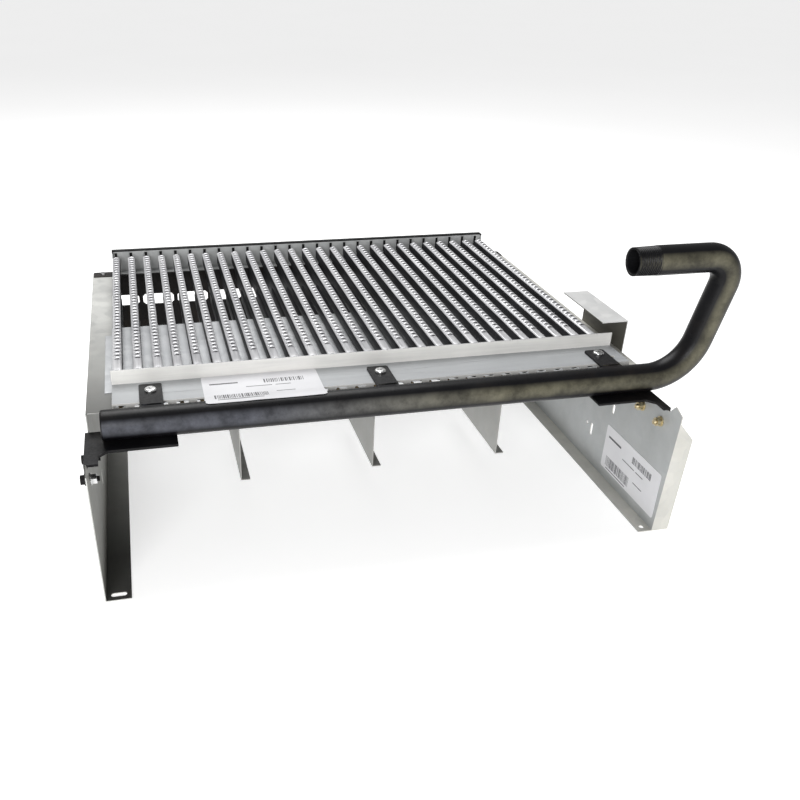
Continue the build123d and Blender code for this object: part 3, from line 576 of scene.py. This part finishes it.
def plain_parts_mesh():
    """Pinched web between tube and head, with spot-weld dimples, and the rear tongue."""
    builder = bmesh.new()
    web_front = HEAD_FRONT + 167 * MM
    web_rear = HEAD_REAR - 4 * MM
    web_low = TUBE_Z - 12 * MM
    web_high = HEAD_BOTTOM + 0.8 * MM
    box_between(builder, (-WEB_HALF, web_front, web_low), (WEB_HALF, web_rear, web_high))
    tongue_top = BURNER_TOP - 4 * MM
    box_between(
        builder,
        (-TONGUE_HALF, HEAD_REAR - 1 * MM, tongue_top - 11 * MM),
        (TONGUE_HALF, burner_high.y, tongue_top),
    )
    bmesh.ops.bevel(builder, geom=builder.edges[:], offset=0.4 * MM, segments=2, affect="EDGES")
    turn = Matrix.Rotation(math.pi / 2, 4, "Y")
    for i in range(SPOT_WELDS):
        y = web_front + (web_rear - web_front) * (i + 0.5) / SPOT_WELDS
        for side in (-1, 1):
            where = Matrix.Translation((side * WEB_HALF, y, web_low + 7 * MM))
            bmesh.ops.create_cone(
                builder, cap_ends=True, segments=16, radius1=2.4 * MM, radius2=2.0 * MM, depth=0.6 * MM,
                matrix=where @ turn,
            )
    return builder


head_template = finish_mesh("burner_template", burner_mesh(), burner_steel, 40.0)
# the head's faces below BRIGHT_DEPTH take the painted shade copy, and so does the whole web
head_template.data.materials.append(burner_shade)
for polygon in head_template.data.polygons:
    polygon.material_index = 0 if polygon.center.z > BURNER_TOP - BRIGHT_DEPTH else 1
plain_template = finish_mesh("burner_web_template", plain_parts_mesh(), burner_shade, 40.0)
burner_nodes = [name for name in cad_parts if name.startswith("burner_") and name[-2:].isdigit()]
for node_name in sorted(burner_nodes):
    low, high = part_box(node_name)
    middle_x = (low.x + high.x) / 2
    body = bpy.data.objects.new(f"{node_name}_body", head_template.data)
    web = bpy.data.objects.new(f"{node_name}_web", plain_template.data)
    for piece in (body, web):
        piece.location.x = middle_x
        bpy.context.scene.collection.objects.link(piece)
    thickness = body.modifiers.new("sheet", "SOLIDIFY")
    thickness.thickness = SHEET
    thickness.offset = -1.0
    keep(body, "burner_steel", node_name)
    keep(web, "burner_steel")
for template in (head_template, plain_template):
    bpy.data.objects.remove(template)


# ---------------------------------------------------------------- manifold pipe
PIPE_RADIUS = 16.7 * MM
PIPE_BORE = 13.3 * MM
THREAD_PITCH = 2.2 * MM
THREAD_DEPTH = 0.8 * MM
THREAD_LENGTH = 28 * MM
THREAD_TAPER = 1 / 40
ROUND = 64
pipe_low, pipe_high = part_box("manifold_pipe")
PIPE_Y = (pipe_low.y + pipe_high.y) / 2
PIPE_LEFT = pipe_low.x
HOOK_TOP_Z = pipe_high.z - PIPE_RADIUS
HOOK_END_X = 234.5 * MM
BEND_RADII = (60 * MM, 27 * MM)
BEND_STEPS = 20
THREAD_STEPS = 110
corners = [
    Vector((PIPE_LEFT, PIPE_Y, TUBE_Z)),
    Vector((329 * MM, PIPE_Y, TUBE_Z)),
    Vector((364 * MM, PIPE_Y, HOOK_TOP_Z)),
    Vector((HOOK_END_X, PIPE_Y, HOOK_TOP_Z)),
]


def pipe_path(points, radii):
    """Points along straight runs joined by tangent arcs, with the direction at each."""
    path = [(points[0], (points[1] - points[0]).normalized())]
    for before, corner, after, radius in zip(points, points[1:], points[2:], radii):
        inward = (corner - before).normalized()
        outward = (after - corner).normalized()
        turn = inward.angle(outward)
        reach = radius * math.tan(turn / 2)
        start = corner - inward * reach
        centre = start + (outward - inward * inward.dot(outward)).normalized() * radius
        axis = inward.cross(outward).normalized()
        for step in range(BEND_STEPS + 1):
            spin = Matrix.Rotation(turn * step / BEND_STEPS, 3, axis)
            path.append((centre + spin @ (start - centre), spin @ inward))
    path.append((points[-1], (points[-1] - points[-2]).normalized()))
    return path


def pipe_mesh():
    """Bent pipe with its thread and bore, and how many of its faces are outside."""
    builder = bmesh.new()
    path = pipe_path(corners, BEND_RADII)
    side = Vector((0, 1, 0))

    def ring(centre, direction, radius_of):
        up = side.cross(direction).normalized()
        points = []
        for i in range(ROUND):
            angle = 2 * math.pi * i / ROUND
            points.append(centre + (side * math.cos(angle) + up * math.sin(angle)) * radius_of(angle))
        return add_ring(builder, points)

    plain = path[:-1]
    end, direction = path[-1]
    outer = [ring(centre, way, lambda angle: PIPE_RADIUS) for centre, way in plain]
    # the last run is plain up to the thread, and the thread is one helix that tapers to the end
    start = end - direction * THREAD_LENGTH
    outer.append(ring(start - direction * 1.0 * MM, direction, lambda angle: PIPE_RADIUS))
    for step in range(THREAD_STEPS + 1):
        along = THREAD_LENGTH * step / THREAD_STEPS
        fade = min(1.0, (THREAD_LENGTH - along) / (1.6 * MM), along / (3 * MM) + 0.15)

        def threaded(angle, along=along, fade=fade):
            phase = (along / THREAD_PITCH + angle / (2 * math.pi)) % 1.0
            groove = abs(2 * phase - 1)
            return PIPE_RADIUS - 0.2 * MM - THREAD_TAPER * along - THREAD_DEPTH * groove * fade

        outer.append(ring(start + direction * along, direction, threaded))
    for first, second in zip(outer, outer[1:]):
        bridge(builder, first, second)
    mouth = ring(end, direction, lambda angle: PIPE_BORE + 0.5 * MM)
    bridge(builder, outer[-1], mouth)
    outside_faces = len(builder.faces)
    inner = [ring(end - direction * 0.8 * MM, direction, lambda angle: PIPE_BORE)]
    inner += [ring(centre, way, lambda angle: PIPE_BORE) for centre, way in reversed(plain)]
    bridge(builder, mouth, inner[0])
    for first, second in zip(inner, inner[1:]):
        bridge(builder, first, second)
    bridge(builder, inner[-1], outer[0])
    return builder, outside_faces


pipe_builder, first_bore_face = pipe_mesh()
pipe = finish_mesh("manifold_pipe_body", pipe_builder, pipe_black, 30.0)
pipe.data.materials.append(bracket_black)
for polygon in pipe.data.polygons[first_bore_face:]:
    polygon.material_index = 1
keep(pipe, "black_pipe", "manifold_pipe")

RIPPLES = 15
BEAD_STEPS = 4 * RIPPLES
BEAD_SIDES = 10
BEAD_RADIUS = 1.5 * MM
BEAD_RIPPLE = 0.3 * MM


def weld_bead(name):
    """Rippled weld along the edge where a tab meets the pipe."""
    builder = bmesh.new()
    low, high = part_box(name)
    rear_y = PIPE_Y + math.sqrt(PIPE_RADIUS**2 - (low.z + 1 * MM - TUBE_Z) ** 2)
    rings = []
    for i in range(BEAD_STEPS + 1):
        share = i / BEAD_STEPS
        x = low.x + (high.x - low.x) * (0.04 + 0.92 * share)
        swell = BEAD_RADIUS + BEAD_RIPPLE * abs(math.sin(math.pi * share * RIPPLES))
        swell *= min(1.0, 6 * share + 0.25, 6 * (1 - share) + 0.25)
        lean = 0.35 * MM * math.sin(3.1 * i) + rear_y + 0.6 * MM
        points = []
        for k in range(BEAD_SIDES):
            angle = 2 * math.pi * k / BEAD_SIDES
            z = high.z + 0.3 * MM + 0.7 * swell * math.sin(angle)
            points.append((x, lean + swell * math.cos(angle), z))
        rings.append(add_ring(builder, points))
    loft(builder, rings)
    keep(finish_mesh(f"{name}_weld", builder, pipe_black, 60.0), "black_pipe")


for node_name in ("left_manifold_tab", "middle_manifold_tab", "right_manifold_tab"):
    weld_bead(node_name)


# ---------------------------------------------------------------- bolts and nuts of the manifold brackets
BOLT_YS = (-205.5 * MM, -246.5 * MM)
BOLT_Z = 137 * MM
PANEL_SHEET = 1.2 * MM
LEG_OUT = PANEL_SHEET + 3.0 * MM  # panel sheet and bracket leg
WASHER = 1.4 * MM
WASHER_RADIUS = 6.5 * MM
HEAD_HEIGHT = 4.2 * MM
NUT_HEIGHT = 5.5 * MM
ACROSS_FLATS = 10 * MM
HEAD_DIMPLE = 0.4 * MM
NUT_BORE = 3.05 * MM
SHANK_RADIUS = 2.95 * MM
SHANK_END = 9.7 * MM
SHANK_THREAD = 0.45 * MM
HEXAGON_STEPS = 72
CROWN_SHARE = 0.97  # the flat crown's radius over the apothem
# the panels' inner faces, by side
panel_faces = {-1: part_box("left_side_panel")[0].x + PANEL_SHEET, 1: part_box("bracket_nuts")[1].x}


def hexagon_piece(builder, centre, axis_sign, height, bore, dimple=0.0):
    """Hex nut or head on a plane of constant X, its crown chamfered at 30 degrees."""
    apothem = ACROSS_FLATS / 2
    rows = {"base": [], "rim": [], "crown": [], "bore_top": [], "bore_base": []}
    for i in range(HEXAGON_STEPS):
        angle = 2 * math.pi * i / HEXAGON_STEPS
        around = (angle + math.pi / 6) % (math.pi / 3) - math.pi / 6
        radius = apothem / math.cos(around)
        drop = max(0.0, radius - apothem * CROWN_SHARE) * math.tan(math.radians(30))
        spots = {
            "base": (radius, 0.0),
            "rim": (radius, height - drop),
            "crown": (apothem * CROWN_SHARE, height),
            "bore_top": (bore, height - dimple),
            "bore_base": (bore, 0.0),
        }
        for key, (reach, along) in spots.items():
            rows[key].append(builder.verts.new((
                centre[0] + axis_sign * along,
                centre[1] + reach * math.cos(angle),
                centre[2] + reach * math.sin(angle),
            )))
    bridge(builder, rows["base"], rows["rim"])
    bridge(builder, rows["rim"], rows["crown"])
    bridge(builder, rows["crown"], rows["bore_top"])
    bridge(builder, rows["bore_top"], rows["bore_base"])
    bridge(builder, rows["bore_base"], rows["base"])


def round_row(builder, centre, axis_sign, along, count, reach_of):
    """Ring around an X axis at a distance along it, with a reach for each angle."""
    points = []
    for i in range(count):
        angle = 2 * math.pi * i / count
        reach = reach_of(angle)
        points.append((
            centre[0] + axis_sign * along,
            centre[1] + reach * math.cos(angle),
            centre[2] + reach * math.sin(angle),
        ))
    return add_ring(builder, points)


def disc(builder, centre, axis_sign, start, end, radius, edge=0.25 * MM, count=40):
    """Washer: a rounded disc on a plane of constant X."""
    profile = ((radius - edge, start), (radius, start + edge), (radius, end - edge), (radius - edge, end))
    rows = []
    for reach, along in profile:
        rows.append(round_row(builder, centre, axis_sign, along, count, lambda angle: reach))
    loft(builder, rows)


def thread_rod(builder, centre, axis_sign, start, end, radius, pitch=1.0 * MM, count=28):
    """Threaded shank, which shows past a nut."""
    steps = max(4, int((end - start) / pitch * 6))
    rows = []
    for step in range(steps + 1):
        along = start + (end - start) * step / steps

        def threaded(angle, along=along):
            groove = abs(2 * ((along / pitch + angle / (2 * math.pi)) % 1.0) - 1)
            return radius - SHANK_THREAD * groove

        rows.append(round_row(builder, centre, axis_sign, along, count, threaded))
    loft(builder, rows)


def bolt_set(side):
    """Both bolts of one bracket: washers and heads outside, shanks through the panel."""
    builder = bmesh.new()
    for y in BOLT_YS:
        centre = (panel_faces[side], y, BOLT_Z)
        disc(builder, centre, side, LEG_OUT, LEG_OUT + WASHER, WASHER_RADIUS)
        outside = (panel_faces[side] + side * (LEG_OUT + WASHER), y, BOLT_Z)
        hexagon_piece(builder, outside, side, HEAD_HEIGHT, HEAD_DIMPLE, 0.3 * MM)
        thread_rod(builder, centre, -side, -LEG_OUT, SHANK_END, SHANK_RADIUS)
    return builder


def nut_set(side):
    """Both nuts of one bracket with their washers, on the panel's inner face."""
    builder = bmesh.new()
    for y in BOLT_YS:
        disc(builder, (panel_faces[side], y, BOLT_Z), -side, 0.0, WASHER, WASHER_RADIUS)
        inside = (panel_faces[side] - side * WASHER, y, BOLT_Z)
        hexagon_piece(builder, inside, -side, NUT_HEIGHT, NUT_BORE)
    return builder


right_bolts = finish_mesh("right_bracket_bolts", bolt_set(1), zinc_yellow, 28.0)
keep(right_bolts, "yellow_zinc", "bracket_bolts")
left_bolts = finish_mesh("left_bracket_bolts", bolt_set(-1), bracket_black, 28.0)
keep(left_bolts, "black_bracket")
right_nuts = finish_mesh("right_bracket_nuts", nut_set(1), zinc_yellow, 28.0)
keep(right_nuts, "yellow_zinc", "bracket_nuts")
left_nuts = finish_mesh("left_bracket_nuts", nut_set(-1), zinc_bright, 28.0)
keep(left_nuts, "zinc_screws")


# ---------------------------------------------------------------- labels
LABEL_WIDTH = 132 * MM
LABEL_DEPTH = 62 * MM
LABEL_CORNER = 3 * MM
MARK_LIFT = 4 * MM  # the front label's marks keep this far from its front edge
PAPER = 0.3 * MM
INK = 0.06 * MM
LABEL_FLAT_END = 24 * MM  # from the front edge, where the label leaves the flange
LABEL_CLIMB = 18 * MM
LABEL_GAP = 0.12 * MM
LABEL_WAVE = 0.25 * MM
front_low, front_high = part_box("front_label")
FLANGE_TOP = front_low.z


def front_label_height(x, y):
    """Underside of the front label: flat on the flange, then over the gap and onto the pipe's crest."""
    share = min(1.0, max(0.0, (front_low.y + LABEL_FLAT_END - y) / LABEL_CLIMB))
    rise = (TUBE_Z + PIPE_RADIUS - FLANGE_TOP) * (share * share * (3 - 2 * share))
    wave = LABEL_WAVE * math.sin(x * 95) * share
    return FLANGE_TOP + LABEL_GAP + rise + max(0.0, wave)


def outline(rows):
    """Points around a grid's edge."""
    right = [row[-1] for row in rows[1:]]
    left = [row[0] for row in rows[-2:0:-1]]
    return rows[0] + right + rows[-1][-2::-1] + left


def sheet_grid(builder, low_x, high_x, low_y, high_y, lift, thickness, across, along, corner=0.0):
    """Sheet that follows the front label's surface."""
    tops, bottoms = [], []
    for j in range(along + 1):
        y = low_y + (high_y - low_y) * j / along
        inset = 0.0
        if corner > 0:
            near = min(y - low_y, high_y - y)
            if near < corner:
                inset = corner - math.sqrt(max(0.0, corner**2 - (corner - near) ** 2))
        top_row, bottom_row = [], []
        for i in range(across + 1):
            x = low_x + inset + (high_x - low_x - 2 * inset) * i / across
            z = front_label_height(x, y) + lift
            top_row.append(builder.verts.new((x, y, z + thickness)))
            bottom_row.append(builder.verts.new((x, y, z)))
        tops.append(top_row)
        bottoms.append(bottom_row)
    for rows in (tops, bottoms):
        for first, second in zip(rows, rows[1:]):
            bridge(builder, first, second, closed=False)
    bridge(builder, outline(tops), outline(bottoms))


label_builder = bmesh.new()
sheet_grid(
    label_builder, front_low.x, front_high.x, front_low.y, front_high.y, 0.0, PAPER, 44, 40, LABEL_CORNER
)
front_paper = finish_mesh("front_label_sheet", label_builder, label_white, 40.0)
keep(front_paper, "label_paper", "front_label")


def print_marks():
    """Generic marks as (left, low, width, height) shares of a label: two bar groups and plain strips."""
    marks = []
    for left, low, width, height in ((0.52, 0.68, 0.34, 0.15), (0.08, 0.10, 0.44, 0.22)):
        at = left
        while at < left + width:
            bar = random.choice((0.005, 0.005, 0.009, 0.013))
            marks.append((at, low, bar, height))
            at += bar + random.choice((0.005, 0.007, 0.011))
    for left, low, width, height in (
        (0.06, 0.74, 0.24, 0.045), (0.36, 0.56, 0.22, 0.02), (0.61, 0.56, 0.13, 0.02),
        (0.10, 0.04, 0.38, 0.02), (0.60, 0.30, 0.16, 0.02),
    ):
        marks.append((left, low, width, height))
    return marks


ink_builder = bmesh.new()
for left, low, width, height in print_marks():
    x = front_low.x + left * LABEL_WIDTH
    y = front_low.y + MARK_LIFT + low * LABEL_DEPTH
    sheet_grid(ink_builder, x, x + width * LABEL_WIDTH, y, y + height * LABEL_DEPTH, PAPER, INK, 1, 6)
front_print = finish_mesh("front_label_print", ink_builder, label_ink, 40.0)
keep(front_print, "label_paper")

panel_low, panel_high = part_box("panel_label")
ink_builder = bmesh.new()
for left, low, width, height in print_marks():
    # read from inside the tray, the label's left end is at the back
    rear = panel_high.y - left * LABEL_WIDTH
    base = panel_low.z + low * LABEL_DEPTH
    box_between(
        ink_builder,
        (panel_low.x - INK, rear - width * LABEL_WIDTH, base),
        (panel_low.x, rear, base + height * LABEL_DEPTH),
    )
panel_print = finish_mesh("panel_label_print", ink_builder, label_ink, 40.0)
keep(panel_print, "label_paper")

# ---------------------------------------------------------------- floor, lights and camera
bpy.ops.mesh.primitive_plane_add(size=80.0, location=(0.0, 0.0, -0.0004))
floor = bpy.context.object
floor.name = "floor"
floor_material, nodes, links, shader = blank_material("floor_pale")
shade = noise(nodes, links, place(nodes, links), 1.5, 3.0)
floor_colour = ramp(nodes, links, shade, [(0.3, (0.86, 0.86, 0.86)), (0.7, (0.89, 0.89, 0.89))])
links.new(floor_colour, shader.inputs["Base Color"])
shader.inputs["Roughness"].default_value = 0.75
shader.inputs["Emission Color"].default_value = (1.0, 1.0, 1.0, 1.0)
shader.inputs["Emission Strength"].default_value = 0.55
floor.data.materials.append(floor_material)

world = bpy.data.worlds.new("studio")
world.use_nodes = True
world.node_tree.nodes["Background"].inputs["Color"].default_value = (1.0, 1.0, 1.0, 1.0)
world.node_tree.nodes["Background"].inputs["Strength"].default_value = 0.34
bpy.context.scene.world = world
bpy.context.scene.view_settings.view_transform = "Standard"
LIGHT_TARGET = Vector((0.0, 0.0, 0.1))


def area_light(name, location, size, power):
    """Soft light that looks at the object's middle."""
    light = bpy.data.lights.new(name, "AREA")
    light.size = size
    light.energy = power
    holder = bpy.data.objects.new(name, light)
    holder.location = location
    holder.rotation_euler = (LIGHT_TARGET - holder.location).to_track_quat("-Z", "Y").to_euler()
    bpy.context.scene.collection.objects.link(holder)


area_light("key", (-0.9, -1.9, 0.9), 1.0, 24.0)
area_light("top", (-0.2, 1.1, 2.0), 1.6, 40.0)

camera_data = bpy.data.cameras.new("camera")
camera_data.lens = 38.70
camera_data.sensor_width = 36.0
camera_data.shift_x = 0.0625
camera_data.shift_y = 0.0688
camera_data.clip_end = 50.0
camera = bpy.data.objects.new("camera", camera_data)
camera.location = (-0.2888, -1.0309, 0.6123)
camera.rotation_euler = tuple(math.radians(angle) for angle in (59.398, -1.240, -13.350))
bpy.context.scene.collection.objects.link(camera)
bpy.context.scene.camera = camera
